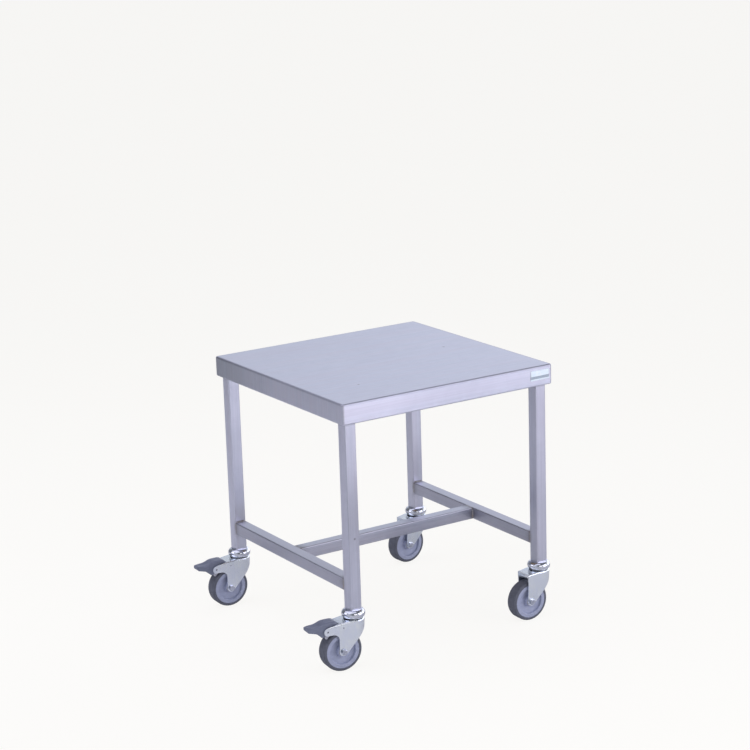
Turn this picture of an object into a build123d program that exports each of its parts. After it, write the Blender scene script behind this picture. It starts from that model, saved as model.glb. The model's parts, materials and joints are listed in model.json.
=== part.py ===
from build123d import *
import math
import os

# Stainless work table on four swivel casters, two of them with foot brakes.
# Frame: +Z up, floor at z = 0, +X to the right, -Y towards the front face.
# The origin is on the floor, under the centre of the whole object's box.

# ---- worktop -------------------------------------------------------------
TOP_SIDE = 600.0  # square worktop, outside
TOP_HEIGHT = 650.0  # working surface above the floor
EDGE_DEPTH = 50.0  # folded-down edge
SHEET = 1.5  # stainless sheet
LIP = 9.0  # return fold under the edge, inwards from the edge's outer face
CORNER_R = 6.0  # welded and ground vertical corners
BEND_R = 3.5  # outside radius of the upper and lower bends
BOARD = 18.0  # sound-deadening board bonded under the sheet
BOARD_GAP = 3.0  # board to the inside of the edge
PLATE_W = 56.0  # blank plate on the front edge
PLATE_H = 25.0
PLATE_T = 0.6
PLATE_R = 1.5
PLATE_FROM_END = 9.0
PLATE_FROM_TOP = 9.5

# ---- frame ---------------------------------------------------------------
TUBE = 30.0  # square tube, outside
TUBE_WALL = 1.5
TUBE_R = 2.5  # outside corner radius of the tube
LEG_INSET = 12.0  # leg's outer face behind the edge's outer face
LEG_BOTTOM = 145.0  # leg's lower end, which is the caster's overall height
RAIL_TOP = 219.0  # upper face of the lower rails
NUT_PLATE = 14.0  # thickness of the threaded plate in a leg's foot
NUT_PLATE_GAP = 0.1  # plate to the tube's inside, where it is welded

# ---- caster --------------------------------------------------------------
WHEEL_R = 50.0
WHEEL_W = 31.6
TRAIL = 37.0  # wheel axle behind the swivel axis
FORK_SHEET = 2.5
FORK_BEND_R = 3.8  # crown to cheek, outside
FORK_BACK_R = 26.3  # half width of the fork's rounded back, at the crown
FORK_NARROWING = 3.65  # degrees that each side closes in along the fork
FORK_LEAN = 2.4  # degrees that each side leans in towards the floor
CROWN_TOP = 124.5
CROWN_SLOPE = 6.0  # degrees that the crown's front falls away
CROWN_FLAT = 20.0  # where that slope starts, from the swivel axis
FORK_FRONT = 47.3  # front edges of the cheeks, from the swivel axis
CHEEK_R = 10.3  # cheek's round end about the axle
CHEEK_BACK = 49.0  # degrees between the cheek's back edge and the floor
PAD_R = 9.5  # flat pressed around the axle hole
PAD_IN = 18.2
PAD_OUT = 20.9
AXLE_R = 4.0
SLEEVE_R = 6.0
HEX_FLATS = 13.0  # bolt head and nut, across the flats
HEX_CHAMFER = 30.0  # degrees
HEAD_HEIGHT = 5.3
NUT_HEIGHT = 6.2
NUT_COLLAR = 1.8
BUSH_R = 8.5
RIM_R = 42.3  # hub's rim, where the tyre begins
RIM_HALF = 15.6
SHOULDER_R = 5.2  # tyre's rounded edges
RUNNING = 0.05  # radial clearance of a turning fit

# ---- swivel head ---------------------------------------------------------
CAP_TOP_R = 20.6
CAP_R = 28.3
CAP_WIDEST_Z = 135.0
CAP_RIM_R = 24.7  # rolled-in lower edge
CAP_RIM_Z = 126.4
CAP_SHEET = 1.6
SEAL_T = 1.5
SPINDLE_R = 6.0
SPINDLE_HEAD_R = 9.8  # hexagon, across the corners
SPINDLE_HEAD = 7.0
STUD_R = 5.0  # thread into the leg's plate
FLANGE_Z = 129.5
FLANGE_R = 21.5
FLANGE_T = 2.5
BALLS = 10
BALL_R = 2.4
BALL_RING_R = 17.0

# ---- brake ---------------------------------------------------------------
PIVOT = (76.0, 106.3)  # pedal's pin: behind the swivel axis, above the floor
PIVOT_R = 2.5
EAR_R = 9.7
EAR_FILLET = 15.0
ANCHOR = (37.0, 110.6)  # spring's anchor pin
ANCHOR_R = 2.0
LEAF_T = 0.8
PEDAL_HALF = 16.5
PEDAL_REAR = 48.3  # pedal's two ends, from the swivel axis
PEDAL_TIP = 124.9
PEDAL_TIP_HALF = 13.0
PEDAL_TIP_R = 4.0
PEDAL_WALL = 2.3
PEDAL_ROUND = 5.0  # rounded shoulders
HOOD_TOP = 127.9
TONGUE_TOP = 120.7
TONGUE_FROM = 98.0  # where the hood ends and the flat tongue begins
TONGUE_FOOT = 110.4  # underside at the tip
HEEL_Z = 94.6  # pedal's lowest edge, over the tread
DISH_DEPTH = 1.2
DISH_R = 48.0
SHOE_R = 54.0  # braking face's radius about the wheel's axle, brake off
SHOE_T = 2.2
SHOE_IN = 10.6  # shoe's two side straps, on each side of the pedal's web
SHOE_OUT = 12.6
SHOE_FROM = 24.0  # braking face's ends, in degrees from the top of the wheel
SHOE_TO = 47.5

# Each caster: place, leg's side in x and y, swivel angle at rest, brake fitted.
CASTERS = {
    "front_left": (-1, -1, -6.4, True),
    "front_right": (1, -1, -1.0, False),
    "back_left": (-1, 1, -2.4, True),
    "back_right": (1, 1, 4.4, False),
}

LEG_AT = TOP_SIDE / 2 - LEG_INSET - TUBE / 2
BOARD_UNDER = TOP_HEIGHT - SHEET - BOARD
# The pedals reach past the worktop on one side, so the table stands off-centre.
TABLE_X = 49.0
CENTRE = Pos(TABLE_X, 0, 0)


def save(shape, name):
    """Writes one named sub-part."""
    shape.label = name
    export_step(shape, f"parts/{name}.step")


def group(solids):
    """Identical pieces that share one node."""
    return Compound(children=list(solids))


def block(x0, x1, y0, y1, z0, z1):
    """A box between two corners."""
    size = (x1 - x0, y1 - y0, z1 - z0)
    return Pos((x0 + x1) / 2, (y0 + y1) / 2, (z0 + z1) / 2) * Box(*size)


def rod(radius, length, along, at):
    """A cylinder centred on a point, along x, y or z."""
    turn = {"x": Rot(0, 90, 0), "y": Rot(90, 0, 0), "z": Rot(0, 0, 0)}[along]
    return Pos(*at) * turn * Cylinder(radius, length)


def square_tube(length):
    """Tube standing on z = 0, along +Z."""
    outer = RectangleRounded(TUBE, TUBE, TUBE_R)
    inner = RectangleRounded(TUBE - 2 * TUBE_WALL, TUBE - 2 * TUBE_WALL, TUBE_R - TUBE_WALL)
    return extrude(outer - inner, length)


# ---- worktop and frame ---------------------------------------------------


def worktop_pan():
    """Folded sheet: top, four edges with a return lip, corners welded."""
    z_mid = TOP_HEIGHT - EDGE_DEPTH / 2
    outer = Pos(0, 0, z_mid) * Box(TOP_SIDE, TOP_SIDE, EDGE_DEPTH)
    outer = fillet(outer.edges().filter_by(Axis.Z), CORNER_R)
    outer = fillet(outer.faces().sort_by(Axis.Z)[-1].edges(), BEND_R)
    outer = fillet(outer.faces().sort_by(Axis.Z)[0].edges(), BEND_R)
    inside = TOP_SIDE - 2 * SHEET
    hollow_depth = EDGE_DEPTH - 2 * SHEET
    hollow = Pos(0, 0, z_mid) * Box(inside, inside, hollow_depth)
    hollow = fillet(hollow.edges().filter_by(Axis.Z), CORNER_R - SHEET)
    hollow = fillet(hollow.faces().sort_by(Axis.Z)[-1].edges(), BEND_R - SHEET)
    hollow = fillet(hollow.faces().sort_by(Axis.Z)[0].edges(), BEND_R - SHEET)
    mouth_side = TOP_SIDE - 2 * LIP
    mouth = Pos(0, 0, TOP_HEIGHT - EDGE_DEPTH) * Box(mouth_side, mouth_side, 4 * SHEET)
    return outer - hollow - mouth


def core_board():
    """Board bonded under the sheet, which stiffens the top and deadens it."""
    side = TOP_SIDE - 2 * SHEET - 2 * BOARD_GAP
    return Pos(0, 0, BOARD_UNDER + BOARD / 2) * Box(side, side, BOARD)


def name_plate():
    """Blank rating plate bonded near the right end of the front edge."""
    plate = extrude(RectangleRounded(PLATE_W, PLATE_H, PLATE_R), PLATE_T)
    x_mid = TOP_SIDE / 2 - PLATE_FROM_END - PLATE_W / 2
    z_mid = TOP_HEIGHT - PLATE_FROM_TOP - PLATE_H / 2
    return Pos(x_mid, -TOP_SIDE / 2, z_mid) * Rot(90, 0, 0) * plate


def leg(side_x, side_y):
    """Leg from the board's underside to the caster."""
    tube = square_tube(BOARD_UNDER - LEG_BOTTOM)
    return Pos(side_x * LEG_AT, side_y * LEG_AT, LEG_BOTTOM) * tube


def rail(along, offset, z_top):
    """Rail between two legs, or between two rails, centred on the table."""
    length = 2 * LEG_AT - TUBE
    tube = Pos(0, 0, -length / 2) * square_tube(length)
    z_mid = z_top - TUBE / 2
    if along == "x":
        return Pos(0, offset, z_mid) * Rot(0, 90, 0) * tube
    return Pos(offset, 0, z_mid) * Rot(90, 0, 0) * tube


def nut_plate():
    """Threaded plate welded inside a leg's foot."""
    side = TUBE - 2 * TUBE_WALL - 2 * NUT_PLATE_GAP
    outline = RectangleRounded(side, side, TUBE_R - TUBE_WALL + 0.5)
    plate = Pos(0, 0, LEG_BOTTOM + 1) * extrude(outline, NUT_PLATE)
    return plate - rod(STUD_R, 3 * NUT_PLATE, "z", (0, 0, LEG_BOTTOM))


# ---- swivel head, fixed to the leg ---------------------------------------


def swivel_cap():
    """Domed cover over the ball race, its lower edge rolled in."""
    rise = LEG_BOTTOM - CAP_WIDEST_Z
    drop = CAP_WIDEST_Z - CAP_RIM_Z
    upper_r = ((CAP_R - CAP_TOP_R) ** 2 + rise**2) / (2 * (CAP_R - CAP_TOP_R))
    lower_r = ((CAP_R - CAP_RIM_R) ** 2 + drop**2) / (2 * (CAP_R - CAP_RIM_R))
    upper_at = (CAP_R - upper_r, CAP_WIDEST_Z)
    lower_at = (CAP_R - lower_r, CAP_WIDEST_Z)
    upper_turn = math.degrees(math.asin(rise / upper_r))
    inner_turn = math.degrees(math.asin((rise - CAP_SHEET) / (upper_r - CAP_SHEET)))
    lower_turn = math.degrees(math.asin(drop / lower_r))
    outer_top = CenterArc(upper_at, upper_r, upper_turn, -upper_turn)
    outer_low = CenterArc(lower_at, lower_r, 0, -lower_turn)
    inner_low = CenterArc(lower_at, lower_r - CAP_SHEET, -lower_turn, lower_turn)
    inner_top = CenterArc(upper_at, upper_r - CAP_SHEET, 0, inner_turn)
    bore = SPINDLE_R + RUNNING
    profile = [
        Line((bore, LEG_BOTTOM), outer_top @ 0),
        outer_top,
        outer_low,
        Line(outer_low @ 1, inner_low @ 0),
        inner_low,
        inner_top,
        Line(inner_top @ 1, (bore, LEG_BOTTOM - CAP_SHEET)),
        Line((bore, LEG_BOTTOM - CAP_SHEET), (bore, LEG_BOTTOM)),
    ]
    return revolve(Plane.XZ * make_face(profile), Axis.Z)


def swivel_spindle():
    """Spindle: hexagon head under the crown, race flange, stud into the leg."""
    crown_under = CROWN_TOP - FORK_SHEET
    head_top = crown_under - 0.3
    head = extrude(RegularPolygon(SPINDLE_HEAD_R, 6), SPINDLE_HEAD)
    head = Pos(0, 0, head_top - SPINDLE_HEAD) * head
    shank_length = LEG_BOTTOM - head_top
    shank = Pos(0, 0, head_top + shank_length / 2) * Cylinder(SPINDLE_R, shank_length)
    flange = Pos(0, 0, FLANGE_Z + FLANGE_T / 2) * Cylinder(FLANGE_R, FLANGE_T)
    stud_length = NUT_PLATE + 1.0
    stud = Pos(0, 0, LEG_BOTTOM + stud_length / 2) * Cylinder(STUD_R, stud_length)
    return head + shank + flange + stud


def swivel_balls():
    """Ball race between the crown and the spindle's flange."""
    z_mid = (CROWN_TOP + FLANGE_Z) / 2
    turns = [360.0 * i / BALLS for i in range(BALLS)]
    return [Rot(0, 0, t) * Pos(BALL_RING_R, 0, z_mid) * Sphere(BALL_R) for t in turns]


def swivel_seal():
    """Seal ring pressed on the flange, which closes the race."""
    z0 = CROWN_TOP + 0.4
    height = FLANGE_Z + FLANGE_T - z0
    ring = Cylinder(FLANGE_R + SEAL_T, height) - Cylinder(FLANGE_R, 2 * height)
    return Pos(0, 0, z0 + height / 2) * ring


# ---- fork ----------------------------------------------------------------
# A caster is drawn with its swivel axis on the Z axis and its wheel towards -X.


def fork_prism(inset, reach):
    """Rounded, tapered block that the fork's outer or inner faces follow."""
    top = CROWN_TOP + 10.0
    radius = FORK_BACK_R - inset + 10.0 * math.tan(math.radians(FORK_LEAN))
    close_in = math.radians(FORK_NARROWING)
    touch = (radius * math.sin(close_in), radius * math.cos(close_in))
    front_half = touch[1] - (reach + touch[0]) * math.tan(close_in)
    outline = [
        ThreePointArc((-touch[0], -touch[1]), (radius, 0), (-touch[0], touch[1])),
        Line((-touch[0], touch[1]), (-reach, front_half)),
        Line((-reach, front_half), (-reach, -front_half)),
        Line((-reach, -front_half), (-touch[0], -touch[1])),
    ]
    face = Pos(0, 0, top) * make_face(outline)
    return extrude(face, 100.0, dir=(0, 0, -1), taper=FORK_LEAN)


def above_crown(drop, reach):
    """What lies above the crown: level over the race, then sloping down."""
    z = CROWN_TOP - drop
    slope = math.radians(CROWN_SLOPE)
    kink = -CROWN_FLAT - drop * math.tan(slope / 2)
    z_front = z - (reach + kink) * math.tan(slope)
    outline = Polyline((40, z), (kink, z), (-reach, z_front), (-reach, 160), (40, 160), close=True)
    return extrude(Plane.XZ * make_face(outline), 60, both=True)


def cheek_outline(braked):
    """Side view of the fork, as a face in the XZ plane."""
    back = math.radians(CHEEK_BACK)
    leave = (
        -TRAIL + CHEEK_R * math.sin(back),
        WHEEL_R - CHEEK_R * math.cos(back),
    )
    behind = 30.0
    z_behind = leave[1] + (behind - leave[0]) * math.tan(back)
    front_turn = (-TRAIL - CHEEK_R, WHEEL_R)
    low = (
        -TRAIL - CHEEK_R * math.sin((math.pi / 2 - back) / 2),
        WHEEL_R - CHEEK_R * math.cos((math.pi / 2 - back) / 2),
    )
    edges = [
        Line((behind, 135), (behind, z_behind)),
        Line((behind, z_behind), leave),
        ThreePointArc(leave, low, front_turn),
    ]
    if not braked:
        edges += [
            Line(front_turn, (-FORK_FRONT, 135)),
            Line((-FORK_FRONT, 135), (behind, 135)),
        ]
        return make_face(edges)
    slope = math.radians(CROWN_SLOPE)
    under = PIVOT[1] - EAR_R
    turn_in = (-FORK_FRONT, under - EAR_FILLET)
    turn_mid = (
        -FORK_FRONT - EAR_FILLET * (1 - math.sqrt(0.5)),
        under - EAR_FILLET * (1 - math.sqrt(0.5)),
    )
    turn_out = (-FORK_FRONT - EAR_FILLET, under)
    ear_low = (-PIVOT[0], under)
    lean = slope * 1.9
    ear_tip = (-PIVOT[0] - EAR_R, PIVOT[1])
    ear_top = (
        -PIVOT[0] - EAR_R * math.sin(lean),
        PIVOT[1] + EAR_R * math.cos(lean),
    )
    ear_end = 30.0
    z_end = ear_top[1] + (-ear_end - ear_top[0]) * math.tan(lean)
    edges += [
        Line(front_turn, turn_in),
        ThreePointArc(turn_in, turn_mid, turn_out),
        Line(turn_out, ear_low),
        ThreePointArc(ear_low, ear_tip, ear_top),
        Line(ear_top, (-ear_end, z_end)),
        Line((-ear_end, z_end), (-ear_end, 135)),
        Line((-ear_end, 135), (behind, 135)),
    ]
    return make_face(edges)


def fork(braked):
    """Pressed steel fork: crown, rounded back and two cheeks."""
    reach = 92.0
    outer = fork_prism(0, reach) - above_crown(0, reach)
    rim = [e for e in outer.edges() if e.center().Z > CROWN_TOP - 9 and e.center().X > -reach + 1]
    rim = [e for e in rim if abs(e.tangent_at(0.5).Z) < 0.3]
    rim = [e for e in rim if abs(e.center().Y) > 3 or e.center().X > 10]
    outer = fillet(rim, FORK_BEND_R)
    inner = fork_prism(FORK_SHEET, reach + 5) - above_crown(FORK_SHEET, reach + 5)
    shell = outer - inner
    if braked:
        ahead = block(-reach - 5, -FORK_FRONT, -40, 40, 0, 140)
        shell = shell - (fork_prism(FORK_SHEET, reach + 5) & ahead)
    side = extrude(Plane.XZ * cheek_outline(braked), 60, both=True)
    shell = shell & side
    for s in (-1, 1):
        pad = rod(PAD_R, PAD_OUT - PAD_IN, "y", (-TRAIL, s * (PAD_IN + PAD_OUT) / 2, WHEEL_R))
        spare = rod(PAD_R, 8, "y", (-TRAIL, s * (PAD_OUT + 4), WHEEL_R))
        inside = rod(PAD_R, 8, "y", (-TRAIL, s * (PAD_IN - 4), WHEEL_R))
        shell = shell - spare - inside + pad
    shell = shell - rod(AXLE_R + 0.1, 80, "y", (-TRAIL, 0, WHEEL_R))
    shell = shell - rod(SPINDLE_R + RUNNING, 20, "z", (0, 0, CROWN_TOP))
    if braked:
        shell = shell - rod(PIVOT_R, 80, "y", (-PIVOT[0], 0, PIVOT[1]))
        shell = shell - rod(ANCHOR_R, 80, "y", (-ANCHOR[0], 0, ANCHOR[1]))
    return shell


# ---- wheel ---------------------------------------------------------------


def at_axle(shape):
    """Moves a piece drawn about the Y axis onto the wheel's axle."""
    return Pos(-TRAIL, 0, WHEEL_R) * shape


def wheel_hub():
    """Moulded hub: rim ring, recessed web on both sides, boss for the bushes."""
    half_outline = [
        (BUSH_R, 16.2),
        (12.0, 16.2),
        (13.2, 15.0),
        (14.6, 7.4),
        (31.6, 10.0),
        (32.8, 15.0),
        (33.6, RIM_HALF),
        (RIM_R - 0.5, RIM_HALF),
        (RIM_R, RIM_HALF - 0.5),
        (RIM_R, 10.0),
        (RIM_R - 2.5, 8.6),
    ]
    other_half = [(r, -w) for r, w in reversed(half_outline)]
    face = make_face(Polyline(*half_outline, *other_half, close=True))
    return at_axle(revolve(face, Axis.Y))


def tyre():
    """Grey tread moulded round the hub, with rounded shoulders."""
    half = WHEEL_W / 2
    side = (WHEEL_R - SHOULDER_R, half)
    cut = SHOULDER_R * (1 - math.sqrt(0.5))
    bulge = (WHEEL_R - cut, half - cut)
    tread = (WHEEL_R, half - SHOULDER_R)
    groove = (RIM_R - 2.5, 8.6)

    def across(point):
        return (point[0], -point[1])

    edges = [
        Line(across(groove), groove),
        Line(groove, (RIM_R, 10.0)),
        Line((RIM_R, 10.0), (RIM_R, half)),
        Line((RIM_R, half), side),
        ThreePointArc(side, bulge, tread),
        Line(tread, across(tread)),
        ThreePointArc(across(tread), across(bulge), across(side)),
        Line(across(side), (RIM_R, -half)),
        Line((RIM_R, -half), (RIM_R, -10.0)),
        Line((RIM_R, -10.0), across(groove)),
    ]
    return at_axle(revolve(make_face(edges), Axis.Y))


def wheel_bushes():
    """Two flanged plain bushes pressed into the hub's bore."""
    bush = rod(BUSH_R, 10.2, "y", (0, 11.1, 0)) + rod(11.0, 1.2, "y", (0, 16.8, 0))
    bush = bush - rod(SLEEVE_R + RUNNING, 80, "y", (0, 0, 0))
    return group([at_axle(bush), at_axle(mirror(bush, Plane.XZ))])


def axle_sleeve():
    """Spacer tube that keeps the cheeks apart and carries the bushes."""
    length = 2 * PAD_IN - 0.1
    sleeve = rod(SLEEVE_R, length, "y", (0, 0, 0)) - rod(AXLE_R + 0.1, 80, "y", (0, 0, 0))
    return at_axle(sleeve)


def hexagon(height):
    """Hexagon standing on the +Y cheek, its outer end chamfered."""
    flat_r = HEX_FLATS / 2
    prism = extrude(RegularPolygon(flat_r, 6, major_radius=False), height)
    end_r = 0.94 * flat_r
    spread = height / math.tan(math.radians(HEX_CHAMFER))
    prism = prism & (Pos(0, 0, height / 2) * Cone(end_r + spread, end_r, height))
    return Pos(0, PAD_OUT, 0) * Rot(-90, 0, 0) * prism


def axle_bolt():
    """Hexagon bolt through the cheeks, its head on the -Y side."""
    head = mirror(hexagon(HEAD_HEIGHT), Plane.XZ)
    end = PAD_OUT + NUT_HEIGHT + NUT_COLLAR + 2.0
    shank = rod(AXLE_R, PAD_OUT + end, "y", (0, (end - PAD_OUT) / 2, 0))
    return at_axle(head + shank)


def axle_nut():
    """Self-locking nut on the +Y side."""
    collar_y = PAD_OUT + NUT_HEIGHT + NUT_COLLAR / 2
    nut = hexagon(NUT_HEIGHT) + rod(0.9 * HEX_FLATS / 2, NUT_COLLAR, "y", (0, collar_y, 0))
    return at_axle(nut - rod(AXLE_R, 80, "y", (0, 0, 0)))


# ---- brake ---------------------------------------------------------------


def pedal_crest(drop):
    """Upper line of the pedal from its rear to its tip: hood, then flat tongue."""
    points = [
        (-PEDAL_REAR + drop, HOOD_TOP - 6.2),
        (-PEDAL_REAR - 5.7, HOOD_TOP - 1.1),
        (-63.0, HOOD_TOP),
        (-75.0, HOOD_TOP - 0.1),
        (-84.0, HOOD_TOP - 1.3),
        (-91.0, HOOD_TOP - 3.9),
        (-TONGUE_FROM, TONGUE_TOP + 1.3),
        (-110.0, TONGUE_TOP + 0.6),
        (-PEDAL_TIP + 1.2, TONGUE_TOP - 0.6),
    ]
    return Spline(*[(x, z - drop) for x, z in points])


def pedal_outside():
    """Side view of the pedal."""
    crest = pedal_crest(0)
    tip_top = (-PEDAL_TIP, TONGUE_TOP - 2.4)
    tip_low = (-PEDAL_TIP, TONGUE_FOOT + 3.0)
    foot = (-PEDAL_TIP + 2.4, TONGUE_FOOT)
    bend = (-107.0, TONGUE_FOOT - 3.8)
    heel = (-91.0, HEEL_Z)
    heel_back = (-85.0, HEEL_Z - 0.8)
    knee = (-66.0, 112.0)
    rear_low = (-PEDAL_REAR, 116.5)
    edges = [
        crest,
        Line(crest @ 1, tip_top),
        Line(tip_top, tip_low),
        Line(tip_low, foot),
        Line(foot, bend),
        ThreePointArc(bend, (-97.6, HEEL_Z + 7.4), heel),
        Line(heel, heel_back),
        Line(heel_back, knee),
        Line(knee, rear_low),
        Line(rear_low, crest @ 0),
    ]
    return make_face(edges)


def pedal_inside():
    """Side view of the hollow below the hood and tongue."""
    below = 60.0
    crest = pedal_crest(PEDAL_WALL)
    tip = (crest @ 1).X
    edges = [
        crest,
        Line(crest @ 1, (tip, below)),
        Line((tip, below), ((crest @ 0).X, below)),
        Line(((crest @ 0).X, below), crest @ 0),
    ]
    solid_tip = -112.0
    nose = [
        (-150.0, below),
        (-150.0, 150.0),
        (solid_tip, 150.0),
        (solid_tip, TONGUE_FOOT),
        (-107.0, TONGUE_FOOT - 1.2),
        (-96.2, HEEL_Z + 9.8),
        (-88.6, HEEL_Z),
        (-88.6, below),
    ]
    return make_face(edges) - make_face(Polyline(*nose, close=True))


def pedal_plan(wall, tip_r=0.0):
    """Plan of the pedal, a little narrower at its tip, whose corners may be rounded."""
    half = PEDAL_HALF - wall
    points = [(-40, half), (-92, half), (-PEDAL_TIP, PEDAL_TIP_HALF - wall)]
    across = [(x, -y) for x, y in reversed(points)]
    plan = make_face(Polyline(*points, *across, close=True))
    if tip_r:
        plan = fillet(plan.vertices().sort_by(Axis.X)[:2], tip_r)
    return Pos(0, 0, 80) * extrude(plan, 60)


def pedal_pin_hole():
    return rod(PIVOT_R + RUNNING, 80, "y", (-PIVOT[0], 0, PIVOT[1]))


def brake_pedal():
    """Moulded pedal: hooded tread, hollow below, hung on the pin by its web."""
    reach = PEDAL_HALF + 5
    outer = extrude(Plane.XZ * pedal_outside(), reach, both=True) & pedal_plan(0)
    upper = [e for e in outer.edges() if e.center().Z > TONGUE_TOP - 3 and abs(e.center().Y) > 10]
    shoulders = [e for e in upper if abs(e.tangent_at(0.5).X) > 0.6]
    outer = fillet(shoulders, PEDAL_ROUND) & pedal_plan(0, PEDAL_TIP_R)
    dish_at = (-(TONGUE_FROM + PEDAL_TIP) / 2, 0, TONGUE_TOP - DISH_DEPTH + DISH_R)
    outer = outer - Pos(*dish_at) * Sphere(DISH_R)
    hollow = extrude(Plane.XZ * pedal_inside(), reach, both=True)
    shell = outer - (hollow & pedal_plan(PEDAL_WALL))
    at_pin = (-PIVOT[0], 0, PIVOT[1])
    boss_r = 6.0
    web_half = SHOE_IN - 0.6
    web = block(-80, -72, -web_half, web_half, PIVOT[1], HOOD_TOP)
    web = web + rod(boss_r, 2 * web_half, "y", at_pin)
    web = web & extrude(Plane.XZ * pedal_outside(), PEDAL_HALF, both=True)
    bosses = rod(boss_r, 2 * PEDAL_HALF - 1, "y", at_pin)
    bosses = bosses - rod(boss_r + 1, 2 * SHOE_OUT + 1.2, "y", at_pin)
    return shell + web + bosses - pedal_pin_hole()


def brake_shoe():
    """Steel shoe hung on the same pin, its face curved like the tread."""
    shoe = Solid.make_cylinder(SHOE_R + SHOE_T, 2 * SHOE_OUT) - Solid.make_cylinder(SHOE_R, 60)
    shoe = Pos(0, SHOE_OUT, 0) * Rot(90, 0, 0) * shoe
    start, end = math.radians(SHOE_FROM), math.radians(SHOE_TO)
    far = 90.0
    wedge = Polyline(
        (0, 0),
        (-far * math.sin(start), far * math.cos(start)),
        (-far * math.sin(end), far * math.cos(end)),
        close=True,
    )
    shoe = at_axle(shoe & extrude(Plane.XZ * make_face(wedge), 40, both=True))
    strap_z = WHEEL_R + SHOE_R * math.cos(math.radians(45))
    straps = block(-PIVOT[0] - 4.5, -PIVOT[0] + 4.5, -SHOE_OUT, SHOE_OUT, strap_z, PIVOT[1])
    straps = straps + rod(4.5, 2 * SHOE_OUT, "y", (-PIVOT[0], 0, PIVOT[1]))
    straps = straps - block(-120, -40, -SHOE_IN, SHOE_IN, 60, 140)
    straps = straps - at_axle(rod(SHOE_R + SHOE_T / 2, 80, "y", (0, 0, 0)))
    return shoe + straps - pedal_pin_hole()


def pivot_pin():
    """Rolled spring pin through both ears."""
    at_pin = (-PIVOT[0], 0, PIVOT[1])
    return rod(PIVOT_R, 41.0, "y", at_pin) - rod(PIVOT_R - 1.1, 60, "y", at_pin)


def anchor_pin():
    """Pin through both cheeks that holds the leaf spring."""
    return rod(ANCHOR_R, 45.6, "y", (-ANCHOR[0], 0, ANCHOR[1]))


def leaf_spring():
    """Leaf that hooks round the anchor pin and bears on the pedal's web."""
    half = 5.0
    at_pin = (-ANCHOR[0], 0, ANCHOR[1])
    start = (-ANCHOR[0], ANCHOR[1] + ANCHOR_R)
    end = (-PIVOT[0] + 6.6, PIVOT[1] + 1.6)
    outline = Polyline(
        start,
        end,
        (end[0], end[1] + LEAF_T),
        (start[0], start[1] + LEAF_T),
        close=True,
    )
    leaf = extrude(Plane.XZ * make_face(outline), half, both=True)
    eye = rod(ANCHOR_R + LEAF_T, 2 * half, "y", at_pin)
    return leaf + eye - rod(ANCHOR_R, 80, "y", at_pin)


# ---- assembly ------------------------------------------------------------


def leg_place(side_x, side_y):
    """From a leg's own frame, with its axis on Z, to the table."""
    return CENTRE * Pos(side_x * LEG_AT, side_y * LEG_AT, 0)


def save_table():
    """Worktop and frame."""
    save(CENTRE * worktop_pan(), "worktop_pan")
    save(CENTRE * core_board(), "core_board")
    save(CENTRE * name_plate(), "name_plate")
    for side, offset in (("front", -LEG_AT), ("back", LEG_AT)):
        save(CENTRE * rail("x", offset, BOARD_UNDER), f"top_rail_{side}")
    for side, offset in (("left", -LEG_AT), ("right", LEG_AT)):
        save(CENTRE * rail("y", offset, BOARD_UNDER), f"top_rail_{side}")
        save(CENTRE * rail("y", offset, RAIL_TOP), f"lower_rail_{side}")
    save(CENTRE * rail("x", 0, RAIL_TOP), "lower_cross_rail")


def save_legs():
    """Legs with what is fixed in and under them."""
    places = {name: leg_place(x, y) for name, (x, y, _, _) in CASTERS.items()}
    for name, (side_x, side_y, _, _) in CASTERS.items():
        save(CENTRE * leg(side_x, side_y), f"leg_{name}")
        save(places[name] * swivel_cap(), f"swivel_cap_{name}")
    save(group(p * nut_plate() for p in places.values()), "leg_nut_plates")
    save(group(p * swivel_spindle() for p in places.values()), "swivel_spindles")
    save(group(p * swivel_seal() for p in places.values()), "swivel_seals")
    save(group(p * ball for p in places.values() for ball in swivel_balls()), "swivel_balls")


def save_caster(name, turned, braked):
    """Everything that swivels under one leg."""
    pieces = {
        "fork": fork(braked),
        "axle_bolt": axle_bolt(),
        "axle_nut": axle_nut(),
        "axle_sleeve": axle_sleeve(),
        "wheel_hub": wheel_hub(),
        "wheel_bushes": wheel_bushes(),
        "tyre": tyre(),
    }
    if braked:
        pieces |= {
            "brake_pedal": brake_pedal(),
            "brake_shoe": brake_shoe(),
            "pedal_pin": pivot_pin(),
            "spring_pin": anchor_pin(),
            "leaf_spring": leaf_spring(),
        }
    for piece, shape in pieces.items():
        save(turned * shape, f"{piece}_{name}")


os.makedirs("parts", exist_ok=True)
save_table()
save_legs()
for caster, (at_x, at_y, swivel, has_brake) in CASTERS.items():
    save_caster(caster, leg_place(at_x, at_y) * Rot(0, 0, swivel), has_brake)
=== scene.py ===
import json
import math
import random

import bmesh
import bpy
from mathutils import Matrix, Vector

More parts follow.
